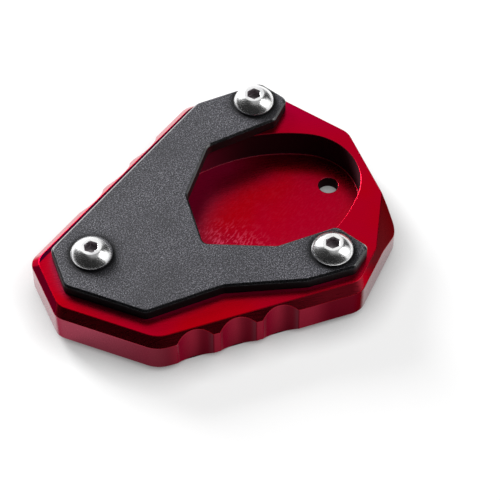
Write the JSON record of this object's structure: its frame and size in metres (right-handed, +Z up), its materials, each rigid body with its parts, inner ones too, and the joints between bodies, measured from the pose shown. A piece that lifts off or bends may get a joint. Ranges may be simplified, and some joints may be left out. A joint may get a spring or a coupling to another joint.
{
  "type": "kickstand foot enlarger",
  "caption": "Wide anodised base with an oval pocket for a side stand foot, a black retaining plate over its edge and button head screws, which spreads the stand's load on soft ground.",
  "frame": {"origin": "On the ground face, under the middle of the outline", "axes": "X along the straight front edge, towards the end where the pocket is open; Y from the front edge to the back edge; Z up, from the ground face to the screw heads"},
  "size_m": [0.0839, 0.067, 0.0166],
  "materials": {
    "base_red": "red anodised, milled",
    "plate_black": "black anodised, fine matt grain",
    "screw_steel": "polished stainless steel"
  },
  "bodies": {
    "root": {"base": "base_red", "retaining_plate": "plate_black", "plate_screws": "screw_steel"}
  },
  "joints": []
}
